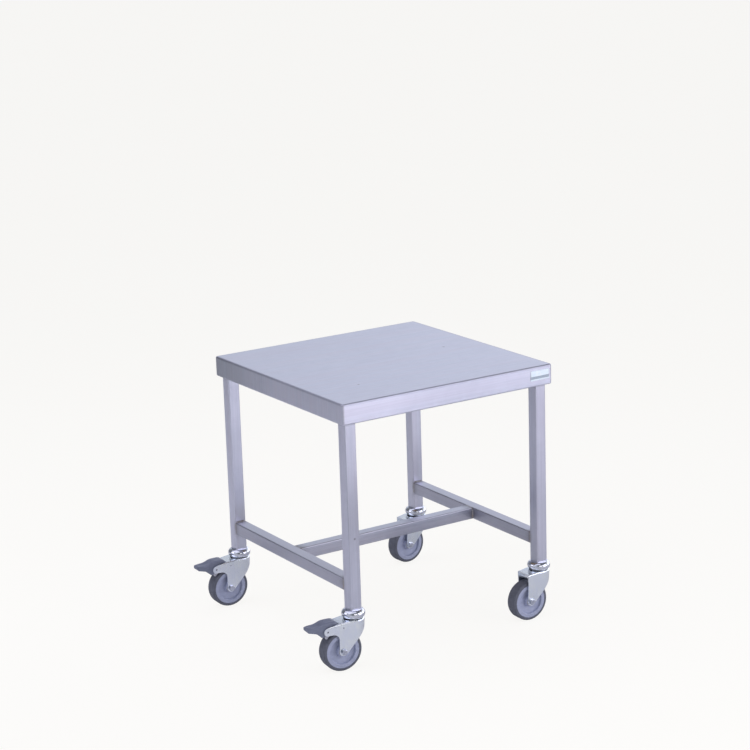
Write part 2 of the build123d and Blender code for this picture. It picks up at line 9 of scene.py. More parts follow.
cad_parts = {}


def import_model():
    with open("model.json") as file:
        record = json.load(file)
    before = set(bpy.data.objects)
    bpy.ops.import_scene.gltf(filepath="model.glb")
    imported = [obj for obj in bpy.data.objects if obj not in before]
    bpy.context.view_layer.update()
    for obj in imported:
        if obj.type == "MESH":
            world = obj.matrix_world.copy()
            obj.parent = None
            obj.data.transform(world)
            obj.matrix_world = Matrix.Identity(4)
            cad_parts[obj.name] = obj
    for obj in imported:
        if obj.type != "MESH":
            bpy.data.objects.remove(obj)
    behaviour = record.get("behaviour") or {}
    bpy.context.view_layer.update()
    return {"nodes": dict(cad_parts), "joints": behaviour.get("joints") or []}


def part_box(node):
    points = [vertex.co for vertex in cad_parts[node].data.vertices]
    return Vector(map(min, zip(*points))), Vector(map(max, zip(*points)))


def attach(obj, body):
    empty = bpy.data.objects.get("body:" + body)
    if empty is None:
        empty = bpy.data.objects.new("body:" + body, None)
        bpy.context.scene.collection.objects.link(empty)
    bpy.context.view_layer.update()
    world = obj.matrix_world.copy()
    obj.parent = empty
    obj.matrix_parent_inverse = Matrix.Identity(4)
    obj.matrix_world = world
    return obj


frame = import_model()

# Looks of a stainless work table on four swivel casters. Metres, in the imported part's frame.

NODES = frame["nodes"]
CORNERS = ("front_left", "front_right", "back_left", "back_right")
SEED = 7
rng = random.Random(SEED)


# ---- positions read from the frame ---------------------------------------


pan_low, pan_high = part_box("worktop_pan")
table_x = (pan_low.x + pan_high.x) / 2
table_y = (pan_low.y + pan_high.y) / 2
top_z = pan_high.z


# ---- node graphs ---------------------------------------------------------


class Graph:
    """Node graph of one material, built around its Principled shader."""

    def __init__(self, name, **sockets):
        self.material = bpy.data.materials.new(name)
        self.material.use_nodes = True
        self.tree = self.material.node_tree
        self.shader = self.tree.nodes["Principled BSDF"]
        for key, value in sockets.items():
            self.shader.inputs[key.replace("_", " ")].default_value = value
        self.coordinates = self.add("ShaderNodeTexCoord")

    def add(self, kind, inputs=None, **settings):
        """A node with its settings, and its inputs linked or set."""
        node = self.tree.nodes.new(kind)
        for key, value in settings.items():
            setattr(node, key, value)
        for key, value in (inputs or {}).items():
            if isinstance(value, bpy.types.NodeSocket):
                self.tree.links.new(value, node.inputs[key])
            else:
                node.inputs[key].default_value = value
        return node

    def place(self, scale=(1, 1, 1), shift=(0, 0, 0)):
        """Position in the part's frame, stretched and shifted."""
        node = self.add(
            "ShaderNodeMapping",
            {"Vector": self.coordinates.outputs["Object"], "Scale": scale, "Location": shift},
        )
        return node.outputs["Vector"]

    def noise(self, vector, scale, detail=2.0, roughness=0.5, distortion=0.0):
        node = self.add(
            "ShaderNodeTexNoise",
            {
                "Vector": vector,
                "Scale": scale,
                "Detail": detail,
                "Roughness": roughness,
                "Distortion": distortion,
            },
        )
        return node.outputs["Fac"]

    def math(self, operation, a, b=0.0):
        node = self.add("ShaderNodeMath", operation=operation)
        for socket, value in zip(node.inputs, (a, b)):
            if isinstance(value, bpy.types.NodeSocket):
                self.tree.links.new(value, socket)
            else:
                socket.default_value = value
        return node.outputs[0]

    def span(self, value, low, high, to_low=0.0, to_high=1.0, kind="LINEAR"):
        """Maps low..high to to_low..to_high, clamped."""
        node = self.add(
            "ShaderNodeMapRange",
            {
                "Value": value,
                "From Min": low,
                "From Max": high,
                "To Min": to_low,
                "To Max": to_high,
            },
            interpolation_type=kind,
        )
        return node.outputs["Result"]

    def mix(self, share, a, b, blend="MIX"):
        """Two colours mixed."""
        node = self.add("ShaderNodeMix", data_type="RGBA", blend_type=blend, clamp_factor=True)
        for socket, value in zip((node.inputs[0], node.inputs[6], node.inputs[7]), (share, a, b)):
            if isinstance(value, bpy.types.NodeSocket):
                self.tree.links.new(value, socket)
            elif isinstance(value, float):
                socket.default_value = value
            else:
                socket.default_value = (*value, 1.0)
        return node.outputs[2]

    def along(self, axis):
        """One coordinate of the position in the part's frame."""
        node = self.add("ShaderNodeSeparateXYZ", {"Vector": self.coordinates.outputs["Object"]})
        return node.outputs[axis.upper()]

    def faces(self, axis):
        """1 where the surface faces along the axis, either way, else 0."""
        node = self.add("ShaderNodeSeparateXYZ", {"Vector": self.coordinates.outputs["Normal"]})
        return self.span(self.math("ABSOLUTE", node.outputs[axis.upper()]), 0.6, 0.8)

    def near(self, axis, level, reach):
        """1 at a level of one coordinate, fading to 0 at the reach."""
        gap = self.math("ABSOLUTE", self.math("SUBTRACT", self.along(axis), level))
        return self.span(gap, 0.0, reach, 1.0, 0.0, "SMOOTHSTEP")

    def both_near(self, place, reach):
        """1 near a line given by levels of one or two coordinates, fading to 0 at the reach."""
        masks = [self.near(axis, level, reach * wider) for axis, level, wider in place]
        result = masks[0]
        for mask in masks[1:]:
            result = self.math("MULTIPLY", result, mask)
        return result

    def spot(self, at, radius):
        """1 at a point, fading to 0 at the radius."""
        node = self.add(
            "ShaderNodeVectorMath",
            {0: self.coordinates.outputs["Object"], 1: at},
            operation="DISTANCE",
        )
        return self.span(node.outputs["Value"], radius * 0.3, radius, 1.0, 0.0, "SMOOTHSTEP")

    def most(self, masks):
        """The largest of several masks."""
        result = masks[0]
        for mask in masks[1:]:
            result = self.math("MAXIMUM", result, mask)
        return result

    def colour(self, socket):
        self.tree.links.new(socket, self.shader.inputs["Base Color"])

    def roughness(self, socket):
        self.tree.links.new(socket, self.shader.inputs["Roughness"])

    def bump(self, height, distance, strength=1.0):
        node = self.add(
            "ShaderNodeBump",
            {"Height": height, "Distance": distance, "Strength": strength},
        )
        self.tree.links.new(node.outputs["Normal"], self.shader.inputs["Normal"])


def shade(colour, factor):
    return tuple(min(1.0, c * factor) for c in colour)


def brushed(
    name, along, rough, weld_and_shade_lines=(), spots=(), cross_grain=None, painted_light_gain=1.0, painted_bands=(), folds=()
):
    """Brushed stainless. The grain runs along one axis, or on cross_grain faces along z.

    The weld lines (one of them is a painted shade line, not a weld) and folds are lines for
    both_near,
    spots are (point, radius), and the bands are (axis, level, reach, tone, axis that the face looks
    along):
    painted light and shade on the faces that look along that axis. The gain makes the whole steel
    lighter or darker, as painted light and shade.
    """
    graph = Graph(name, Metallic=1.0)

    def grain(fine, long, detail, shift):
        scale = [fine, fine, fine]
        scale["xyz".index(along)] = long
        plain = graph.noise(graph.place(scale, shift), 1.0, detail, 0.6)
        if cross_grain is None:
            return plain
        turned = graph.noise(graph.place((fine, fine, long), shift), 1.0, detail, 0.6)
        share = graph.faces(cross_grain)
        change = graph.math("SUBTRACT", turned, plain)
        return graph.math("ADD", plain, graph.math("MULTIPLY", share, change))

    hair = grain(900.0, 9.0, 2.0, (0, 0, 0))
    streak = grain(220.0, 2.2, 2.0, (3.1, 1.7, 0.4))
    band = grain(60.0, 1.0, 1.0, (0.2, 5.3, 2.4))
    cloud = graph.noise(graph.place(shift=(0.3, 0.9, 0.2)), 5.5, 3.0, 0.5, 0.5)
    smear = graph.noise(graph.place(shift=(1.3, 0.1, 0.7)), 26.0, 3.0, 0.55, 1.2)
    tone = graph.math(
        "ADD", graph.span(hair, 0.3, 0.7, -0.35, 0.35), graph.span(streak, 0.3, 0.7, -0.45, 0.45)
    )
    tone = graph.math("ADD", tone, graph.span(cloud, 0.3, 0.7, -0.35, 0.35))
    tone = graph.math("ADD", tone, graph.span(smear, 0.35, 0.75, 0.15, -0.25))
    # The gain makes this copy of the steel lighter or darker: painted light and shade.
    steel = graph.mix(
        graph.span(tone, -1.2, 1.2), shade(STEEL_DARK, painted_light_gain), shade(STEEL_LIGHT, painted_light_gain)
    )
    warm = graph.mix(graph.span(band, 0.35, 0.65, 0.0, 0.55), steel, shade(STEEL_WARM, painted_light_gain))
    finish = graph.mix(0.5, steel, warm)
    # Painted light and shade: faces looking along one axis made lighter or darker near a level.
    for axis, level, reach, painted_tone, facing in painted_bands:
        mask = graph.math("MULTIPLY", graph.near(axis, level, reach), graph.faces(facing))
        finish = graph.mix(mask, finish, graph.mix(1.0, finish, painted_tone, "MULTIPLY"))
    rough_now = graph.math(
        "ADD",
        graph.span(cloud, 0.3, 0.7, rough - 0.02, rough + 0.02),
        graph.span(streak, 0.3, 0.7, -0.03, 0.03),
    )
    # Heat grey and straw beside the welds; along the leg tops under the worktop's lip the same
    # colours are painted shade.
    if weld_and_shade_lines:
        heat = graph.most([graph.both_near(place, HEAT_AND_SHADE_REACH) for place in weld_and_shade_lines])
        patchy = graph.math("MULTIPLY", heat, graph.span(smear, 0.30, 0.62, 0.25, 1.0))
        finish = graph.mix(graph.math("MULTIPLY", patchy, 0.75), finish, HEAT_AND_SHADE_GREY)
        seam = graph.most([graph.both_near(place, STRAW_AND_SHADE_REACH) for place in weld_and_shade_lines])
        straw = graph.math("MULTIPLY", seam, graph.span(smear, 0.3, 0.55, 0.15, 0.6))
        finish = graph.mix(straw, finish, STRAW_AND_SHADE_TINT)
        rough_now = graph.math("ADD", rough_now, graph.math("MULTIPLY", heat, 0.10))
    # Folds: rougher, and darker as painted shade.
    if folds:
        fold = graph.most([graph.both_near(place, FOLD_REACH) for place in folds])
        finish = graph.mix(fold, finish, graph.mix(1.0, finish, FOLD_PAINTED_SHADE, "MULTIPLY"))
        rough_now = graph.math("ADD", rough_now, graph.math("MULTIPLY", fold, 0.12))
    if spots:
        specks = graph.most([graph.spot(at, radius) for at, radius in spots])
        finish = graph.mix(graph.math("MULTIPLY", specks, 0.62), finish, SPECK)
    graph.colour(finish)
    graph.roughness(rough_now)
    height = graph.math("ADD", hair, graph.math("MULTIPLY", streak, 1.5))
    graph.bump(height, 0.00004, 0.35)
    return graph.material


def plated(name, dark, light, rough, spread, scuffs=0.5):
    """Bright plating: soft clouds, fine drawn lines from the press, a few scuffs."""
    graph = Graph(name, Metallic=1.0)
    cloud = graph.noise(graph.place(), 45.0, 3.0, 0.5, 0.4)
    drawn = graph.noise(graph.place((380.0, 380.0, 22.0)), 1.0, 2.0, 0.55)
    scuff = graph.noise(graph.place((150.0, 150.0, 210.0), (0.7, 0.2, 0.9)), 1.0, 4.0, 0.65, 0.8)
    marks = graph.span(scuff, 0.60, 0.74)
    tone = graph.math(
        "ADD", graph.span(cloud, 0.3, 0.7, -0.6, 0.6), graph.span(drawn, 0.3, 0.7, -0.4, 0.4)
    )
    shine = graph.mix(graph.span(tone, -1.0, 1.0), dark, light)
    shine = graph.mix(graph.math("MULTIPLY", marks, scuffs), shine, shade(dark, 0.80))
    graph.colour(shine)
    cloudy = graph.span(cloud, 0.3, 0.7, rough - spread, rough + spread)
    graph.roughness(graph.math("ADD", cloudy, graph.math("MULTIPLY", marks, 0.06)))
    graph.bump(graph.math("ADD", cloud, graph.math("MULTIPLY", drawn, 0.5)), 0.00002, 0.3)
    return graph.material


def moulded(name, dark, light, rough, grain=1500.0, depth=0.00008, dust=0.0, specular=0.5):
    """Moulded plastic or rubber: fine spark-eroded grain, faint flow clouds, light dust."""
    graph = Graph(name)
    graph.shader.inputs["Specular IOR Level"].default_value = specular
    pits = graph.noise(graph.place(), grain, 2.0, 0.6)
    flow = graph.noise(graph.place((60.0, 60.0, 90.0), (0.4, 0.1, 0.6)), 1.0, 3.0, 0.5, 0.7)
    wear = graph.noise(graph.place(shift=(0.9, 0.3, 0.1)), 240.0, 4.0, 0.65)
    tone = graph.math(
        "ADD", graph.span(flow, 0.3, 0.7, -0.6, 0.6), graph.span(pits, 0.3, 0.7, -0.4, 0.4)
    )
    body = graph.mix(graph.span(tone, -1.0, 1.0), dark, light)
    body = graph.mix(graph.math("MULTIPLY", graph.span(wear, 0.52, 0.72), dust), body, DUST)
    graph.colour(body)
    uneven = graph.span(flow, 0.3, 0.7, rough - 0.05, rough + 0.05)
    graph.roughness(graph.math("ADD", uneven, graph.span(wear, 0.5, 0.7, 0.0, 0.08)))
    graph.bump(graph.math("ADD", pits, graph.math("MULTIPLY", wear, 0.6)), depth, 0.5)
    return graph.material


def board():
    """Chipboard under the sheet: flakes of several browns."""
    graph = Graph("core_board", Roughness=0.85)
    cells = graph.add(
        "ShaderNodeTexVoronoi", {"Vector": graph.place((1, 1, 3)), "Scale": 240.0, "Randomness": 1.0}
    )
    flake = graph.add("ShaderNodeSeparateXYZ", {"Vector": cells.outputs["Color"]}).outputs["X"]
    fibre = graph.noise(graph.place((900, 250, 900)), 1.0, 3.0, 0.6)
    tone = graph.math("ADD", graph.math("MULTIPLY", flake, 0.7), graph.math("MULTIPLY", fibre, 0.3))
    graph.colour(graph.mix(tone, (0.22, 0.15, 0.09), (0.56, 0.44, 0.30)))
    graph.bump(tone, 0.0003, 0.6)
    return graph.material


def plate():
    """Blank printed plate: pale panel over a slate strip, satin varnish."""
    graph = Graph("name_plate", Roughness=0.38, Metallic=0.45)
    low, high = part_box("name_plate")
    rise = graph.along("z")
    ink = graph.noise(graph.place(), 1300.0, 2.0, 0.5)
    cloud = graph.noise(graph.place(), 160.0, 3.0, 0.5)
    pale = graph.mix(graph.span(cloud, 0.3, 0.7), (0.80, 0.93, 1.0), (0.92, 1.0, 1.0))
    strip_low, strip_top = (low.z + share * (high.z - low.z) for share in PLATE_STRIP)
    soft = 0.0004
    strip = graph.math(
        "MULTIPLY",
        graph.span(rise, strip_low - soft, strip_low + soft),
        graph.span(rise, strip_top - soft, strip_top + soft, 1.0, 0.0),
    )
    strip = graph.math("MULTIPLY", strip, graph.span(ink, 0.3, 0.6, 0.45, 0.80))
    graph.colour(graph.mix(strip, pale, (0.20, 0.25, 0.33)))
    graph.roughness(graph.span(cloud, 0.3, 0.7, 0.32, 0.46))
    graph.bump(graph.math("ADD", cloud, strip), 0.00006, 0.4)
    return graph.material


def weld_metal():
    """Weld bead: dull steel with straw and blue-grey heat colours."""
    graph = Graph("weld_bead", Metallic=1.0)
    cloud = graph.noise(graph.place(), 330.0, 3.0, 0.6)
    tint = graph.noise(graph.place(shift=(0.2, 0.6, 0.3)), 120.0, 2.0, 0.5)
    metal = graph.mix(graph.span(cloud, 0.3, 0.7), (0.30, 0.29, 0.31), (0.58, 0.57, 0.60))
    metal = graph.mix(graph.span(tint, 0.45, 0.7, 0.0, 0.6), metal, (0.42, 0.33, 0.22))
    graph.colour(metal)
    graph.roughness(graph.span(cloud, 0.3, 0.7, 0.34, 0.52))
    graph.bump(cloud, 0.0002, 0.5)
    return graph.material


STEEL_DARK = (0.52, 0.54, 0.63)
STEEL_LIGHT = (0.70, 0.72, 0.82)
STEEL_WARM = (0.66, 0.62, 0.70)
# Heat grey and straw beside welds; the same colours are painted shade on the leg tops under the
# worktop's lip.
HEAT_AND_SHADE_GREY = (0.30, 0.30, 0.34)
STRAW_AND_SHADE_TINT = (0.25, 0.22, 0.20)
SPECK = (0.16, 0.15, 0.17)
DUST = (0.42, 0.43, 0.46)
# Lower and upper edge of the slate strip, as shares of the plate's height.
PLATE_STRIP = (0.15, 0.42)
# How far the heat colours spread from a weld, and the straw line right beside it. The same colours
# make the painted shade under the worktop's lip.
HEAT_AND_SHADE_REACH, STRAW_AND_SHADE_REACH = 0.016, 0.005
# The bent edges round the worktop are duller than the flat sheet, and darker as painted shade.
FOLD_REACH = 0.007
FOLD_PAINTED_SHADE = (0.62, 0.62, 0.64)

# The three rails that hold the legs together, and where their welds are; on the legs also the line
# under the worktop's lip, whose heat colours are painted shade. Each place is a list of (axis,
# level, factor on the reach).
rail_low, rail_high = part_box("lower_rail_left")
cross_low, cross_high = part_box("lower_cross_rail")
leg_low, leg_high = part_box("leg_front_left")
leg_x = (leg_low.x + leg_high.x) / 2
rail_mid_z = (rail_low.z + rail_high.z) / 2
LEG_WELDS_AND_LIP_SHADE = [[("z", rail_mid_z, 2.2), ("y", y, 0.7)] for y in (rail_low.y, rail_high.y)]
# Painted shade: darkens the leg tops just under the worktop's lip with the heat colours.
LEG_WELDS_AND_LIP_SHADE.append([("z", pan_low.z, 0.55)])
RAIL_WELDS = [[("y", y, 1.5)] for y in (rail_low.y, rail_high.y)]
CROSS_WELDS = [[("x", x, 1.8)] for x in (cross_low.x, cross_high.x)]
TOP_SPOTS = [
    (Vector((table_x - 0.171, table_y - 0.167, top_z)), 0.0042),
    (Vector((table_x + 0.196, table_y + 0.010, top_z)), 0.0050),
]
LEG_SPOTS = [(Vector((leg_x + 0.002, leg_low.y, 0.320)), 0.0040)]


def leg_steel(corner, painted_light_gain, painted_bands, spots=()):
    return brushed("brushed_leg_" + corner, "z", 0.33, LEG_WELDS_AND_LIP_SHADE, spots, painted_light_gain=painted_light_gain, painted_bands=painted_bands)


TOP_FOLDS = [
    [(axis, edge, 1.0), ("z", top_z, 1.0)]
    for axis, edge in (("x", pan_low.x), ("x", pan_high.x), ("y", pan_low.y), ("y", pan_high.y))
]
# Painted light and shade on the worktop's sides: the end faces darker toward the back, the front and
# back faces lighter in the left part.
SHEET_PAINTED_LIGHT = [
    ("y", table_y + 0.30, 0.30, (0.78, 0.80, 0.78), "x"),
    ("x", table_x - 0.30, 0.36, (1.20, 1.19, 1.19), "y"),
]
# Painted light and shade on each leg: a lighter or darker copy of the steel, and a darker band
# across its front and back faces.
LEG_STEEL = {
    "front_left": leg_steel(
        "front_left", 1.02, [("z", 0.37, 0.17, (0.80, 0.80, 0.80), "y")], LEG_SPOTS
    ),
    "front_right": leg_steel("front_right", 0.99, [("z", 0.56, 0.16, (0.90, 0.89, 0.89), "y")]),
    "back_left": leg_steel("back_left", 1.12, [("z", 0.235, 0.05, (0.88, 0.87, 0.85), "y")]),
    "back_right": leg_steel("back_right", 1.06, [("z", 0.26, 0.10, (0.88, 0.88, 0.89), "y")]),
}

LOOKS = {
    "sheet": brushed(
        "brushed_sheet",
        "x",
        0.36,
        spots=TOP_SPOTS,
        cross_grain="x",
        painted_bands=SHEET_PAINTED_LIGHT,
        folds=TOP_FOLDS,
    ),
    # The rails are darker copies of the same steel: painted shade.
    "tube_x": brushed("brushed_tube_x", "x", 0.33, CROSS_WELDS, painted_light_gain=0.84),
    "tube_y": brushed("brushed_tube_y", "y", 0.33, RAIL_WELDS, painted_light_gain=0.81),
    "board": board(),
    "plate": plate(),
    "chrome": plated("chrome_cap", (0.66, 0.69, 0.76), (0.82, 0.85, 0.93), 0.09, 0.03, 0.3),
    "zinc": plated("zinc_plate", (0.82, 0.88, 1.0), (0.95, 1.0, 1.0), 0.19, 0.05, 0.25),
    "fastener": plated("fastener", (0.46, 0.49, 0.57), (0.66, 0.69, 0.79), 0.27, 0.05, 0.4),
    "steel": plated("steel", (0.42, 0.43, 0.48), (0.60, 0.62, 0.68), 0.36, 0.06, 0.5),
    "seal": moulded("seal_rubber", (0.018, 0.018, 0.022), (0.040, 0.040, 0.046), 0.55, dust=0.2),
    "hub": moulded(
        "hub_plastic", (0.37, 0.41, 0.55), (0.49, 0.53, 0.69), 0.42, 1600.0, 0.00006, 0.05
    ),
    "bush": moulded("bush_plastic", (0.50, 0.50, 0.52), (0.66, 0.66, 0.68), 0.42),
    "tread": moulded(
        "tread", (0.110, 0.120, 0.150), (0.165, 0.175, 0.215), 0.60, 900.0, 0.00012, 0.10, 0.35
    ),
    "pedal": moulded(
        "pedal_plastic", (0.16, 0.18, 0.25), (0.23, 0.255, 0.34), 0.44, 1300.0, 0.00010, 0.06
    ),
    "weld": weld_metal(),
    "plate_edge": plated("plate_edge", (0.60, 0.66, 0.72), (0.78, 0.84, 0.90), 0.30, 0.05),
}

SLOT_LOOKS = {
    "stainless_sheet": "sheet",
    "board": "board",
    "plate": "plate",
    "chrome_cap": "chrome",
    "zinc_plate": "zinc",
    "steel": "steel",
    "seal_rubber": "seal",
    "hub_plastic": "hub",
    "bush_plastic": "bush",
    "tread": "tread",
    "pedal_plastic": "pedal",
}


def look_for(name, slot):
    """The look of a CAD node. Tubes follow their own length."""
    if name.startswith("axle_bolt_") or name.startswith("axle_nut_"):
        return LOOKS["fastener"]
    if slot != "stainless_tube":
        return LOOKS[SLOT_LOOKS[slot]]
    if name.startswith("leg_"):
        return LEG_STEEL[name[4:]]
    low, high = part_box(name)
    size = high - low
    return LOOKS["tube_x" if size.x > size.y else "tube_y"]


for name, node in NODES.items():
    slot = node.material_slots[0].material.name
    node.material_slots[0].material = look_for(name, slot.split(".")[0])


# ---- welds and small pieces ----------------------------------------------


def piece(name, bm, body, look):
    """A finished mesh as a piece of the object."""
    bmesh.ops.recalc_face_normals(bm, faces=bm.faces)
    mesh = bpy.data.meshes.new(name)
    bm.to_mesh(mesh)
    bm.free()
    for face in mesh.polygons:
        face.use_smooth = True
    obj = bpy.data.objects.new(name, mesh)
    bpy.context.scene.collection.objects.link(obj)
    obj.data.materials.append(LOOKS[look])
    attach(obj, body)


def skin(bm, rings, closed=False):
    """Faces between rings of points. Open ends are capped."""
    made = [[bm.verts.new(point) for point in ring] for ring in rings]
    count = len(made[0])
    spans = list(zip(made, made[1:]))
    if closed:
        spans.append((made[-1], made[0]))
    for one, other in spans:
        for k in range(count):
            following = (k + 1) % count
            bm.faces.new((one[k], one[following], other[following], other[k]))
    if not closed:
        bm.faces.new(made[0])
        bm.faces.new(list(reversed(made[-1])))


X, Y, Z = Vector((1, 0, 0)), Vector((0, 1, 0)), Vector((0, 0, 1))

# Fillet weld beads: size, length of one ripple, and points across the round of a ring.
BEAD = 0.0030
RIPPLE = 0.0040
BEAD_POINTS = 6
# Ground seams: length of a step, and points across.
SEAM_STEP = 0.002
SEAM_POINTS = 7
SEAM_WIDTH, SEAM_RISE = 0.0036, 0.00022
# How far every weld reaches into the steel, and how far its ends stay off rounded corners.
WELD_SUNK = 0.0003
CORNER_INSET = 0.0022


def bead(bm, start, end, side_a, side_b, size):
    """Rippled fillet weld in a corner. The sides point from the corner along its two faces."""
    length = (end - start).length
    steps = max(8, round(length / (RIPPLE / 4)))
    phase = rng.uniform(0, math.tau)
    rings = []
    for step in range(steps + 1):
        along = step / steps * length
        inset = min(along, length - along)
        taper = min(1.0, 0.35 + 0.65 * math.sqrt(max(inset, 0.0) / size))
        ripple = abs(math.sin(math.pi * along / RIPPLE + phase))
        reach = size * taper * (0.76 + 0.24 * ripple + rng.uniform(-0.03, 0.03))
        at = start.lerp(end, step / steps)
        ring = [at - (side_a + side_b) * WELD_SUNK]
        for k in range(BEAD_POINTS):
            turn = math.pi / 2 * k / (BEAD_POINTS - 1)
            a, b = math.cos(turn), math.sin(turn)
            flat = 1 / (a + b)
            ring.append(at + (side_a * a + side_b * b) * reach * (0.45 * flat + 0.55))
        rings.append(ring)
    skin(bm, rings)


def ground_seam(bm, start, end, across, outward, width, height):
    """Butt weld ground nearly flush with the face."""
    length = (end - start).length
    steps = max(6, round(length / SEAM_STEP))
    rings = []
    for step in range(steps + 1):
        wander = rng.uniform(-0.06, 0.06)
        at = start.lerp(end, step / steps) - outward * WELD_SUNK
        ring = []
        for k in range(SEAM_POINTS):
            u = -1 + k / (SEAM_POINTS // 2)
            half = width / 2 * (1 + wander)
            rise = WELD_SUNK + height * (1 - u * u) * (1 + rng.uniform(-0.15, 0.15))
            lift = 0 if k in (0, SEAM_POINTS - 1) else rise
            ring.append(at + across * (u * half) + outward * lift)
        rings.append(ring)
    skin(bm, rings)


def rail_end_welds(rail_name, weld_name, y, toward):
    """Side rail to leg: fillets above and below, ground seams on the flush faces."""
    low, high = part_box(rail_name)
    bm = bmesh.new()
    left, right = low.x + CORNER_INSET, high.x - CORNER_INSET
    for z, upward in ((high.z, Z), (low.z, -Z)):
        bead(bm, Vector((left, y, z)), Vector((right, y, z)), Y * toward, upward, BEAD)
    for x, outward in ((low.x, -X), (high.x, X)):
        start = Vector((x, y, low.z + CORNER_INSET))
        end = Vector((x, y, high.z - CORNER_INSET))
        ground_seam(bm, start, end, Y, outward, SEAM_WIDTH, SEAM_RISE)
    piece(weld_name, bm, "table", "weld")


def cross_rail_welds():
    """Cross rail to side rails: fillets in front and behind, ground seams above and below."""
    low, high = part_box("lower_cross_rail")
    for side, x, inward in (("left", low.x, 1), ("right", high.x, -1)):
        bm = bmesh.new()
        for y, outward in ((low.y, -Y), (high.y, Y)):
            start = Vector((x, y, low.z + CORNER_INSET))
            end = Vector((x, y, high.z - CORNER_INSET))
            bead(bm, start, end, X * inward, outward, BEAD)
        for z, outward in ((high.z, Z), (low.z, -Z)):
            start = Vector((x, low.y + CORNER_INSET, z))
            end = Vector((x, high.y - CORNER_INSET, z))
            ground_seam(bm, start, end, X, outward, SEAM_WIDTH, SEAM_RISE)
        piece("cross_rail_weld_" + side, bm, "table", "weld")


def top_rail_welds():
    """Top rails to legs, under the worktop: a fillet below the end of each rail."""
    for corner in CORNERS:
        low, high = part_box("leg_" + corner)
        back, right = corner.startswith("back"), corner.endswith("right")
        rail_low_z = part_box("top_rail_front")[0].z
        x_in, x_way = (low.x, -1) if right else (high.x, 1)
        y_in, y_way = (low.y, -1) if back else (high.y, 1)
        bm = bmesh.new()
        bead(
            bm,
            Vector((x_in, low.y + CORNER_INSET, rail_low_z)),
            Vector((x_in, high.y - CORNER_INSET, rail_low_z)),
            X * x_way,
            -Z,
            BEAD,
        )
        bead(
            bm,
            Vector((low.x + CORNER_INSET, y_in, rail_low_z)),
            Vector((high.x - CORNER_INSET, y_in, rail_low_z)),
            Y * y_way,
            -Z,
            BEAD,
        )
        piece("top_rail_weld_" + corner, bm, "table", "weld")


def lip_seams():
    """Mitred corners of the return lip, under the worktop's edge."""
    lip, near_edge = 0.009, 0.0042
    width, rise = 0.0024, 0.00018
    bm = bmesh.new()
    for x, x_way in ((pan_low.x, 1), (pan_high.x, -1)):
        for y, y_way in ((pan_low.y, 1), (pan_high.y, -1)):
            start = Vector((x + x_way * near_edge, y + y_way * near_edge, pan_low.z))
            end = Vector((x + x_way * lip, y + y_way * lip, pan_low.z))
            across = Vector((x_way, -y_way, 0)).normalized()
            ground_seam(bm, start, end, across, -Z, width, rise)
    piece("lip_corner_seams", bm, "table", "weld")


# Across the border: how far in, as shares of its band, and how far proud of the plate.
BORDER_PROFILE = (
    (0, -0.0001),
    (0, 0.00012),
    (-0.3, 0.00024),
    (-0.7, 0.00024),
    (-1, 0.00012),
    (-1, -0.0001),
)


def plate_border():
    """Raised rolled border round the blank plate."""
    low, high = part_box("name_plate")
    inset, corner, band = 0.0004, 0.0013, 0.0011
    at_x, at_z = (low.x + high.x) / 2, (low.z + high.z) / 2
    half_x, half_z = (high.x - low.x) / 2 - inset, (high.z - low.z) / 2 - inset
    rings = []
    for cx, cz, first in ((1, 1, 0), (-1, 1, 90), (-1, -1, 180), (1, -1, 270)):
        for k in range(5):
            turn = math.radians(first + 90 * k / 4)
            out = Vector((math.cos(turn), 0, math.sin(turn)))
            core = Vector((at_x + cx * (half_x - corner), low.y, at_z + cz * (half_z - corner)))
            ring = []
            for reach, proud in BORDER_PROFILE:
                ring.append(core + out * (corner + reach * band) - Y * proud)
            rings.append(ring)
    bm = bmesh.new()
    skin(bm, rings, closed=True)
    piece("name_plate_border", bm, "table", "plate_edge")


def tyre_seams():
    """Moulding line round the middle of each tyre."""
    line_width, line_depth, count = 0.0009, 0.0003, 144
    joints = {joint["child"]: joint for joint in frame["joints"]}
    for corner in CORNERS:
        spin = joints["wheel_" + corner]
        centre, axle = Vector(spin["pos_m"]), Vector(spin["axis"]).normalized()
        low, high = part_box("tyre_" + corner)
        radius = (high.z - low.z) / 2
        sideways = axle.cross(Z).normalized()
        rings = []
        for step in range(count):
            turn = math.tau * step / count
            out = sideways * math.cos(turn) + Z * math.sin(turn)
            proud = 0.00016 + rng.uniform(-0.00003, 0.00003)
            shoulder = proud * 0.8
            profile = (
                (-0.5, -line_depth),
                (-0.28, shoulder),
                (0, proud),
                (0.28, shoulder),
                (0.5, -line_depth),
            )
            rings.append(
                [centre + axle * (u * line_width) + out * (radius + rise) for u, rise in profile]
            )
        bm = bmesh.new()
        skin(bm, rings, closed=True)
        piece("tyre_seam_" + corner, bm, "wheel_" + corner, "tread")


for rail_side in ("left", "right"):
    rail = "lower_rail_" + rail_side
    rail_welds = "rail_weld_" + rail_side
    rail_end_welds(rail, rail_welds + "_front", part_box(rail)[0].y, 1)
    rail_end_welds(rail, rail_welds + "_back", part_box(rail)[1].y, -1)
cross_rail_welds()
top_rail_welds()
lip_seams()
plate_border()
tyre_seams()


# ---- floor, light and camera ---------------------------------------------


FLOOR_SIZE = 120.0


def plane(name, graph):
    bpy.ops.mesh.primitive_plane_add(size=FLOOR_SIZE)
    obj = bpy.context.object
    obj.name = name
    obj.data.materials.append(graph.material)
    return obj


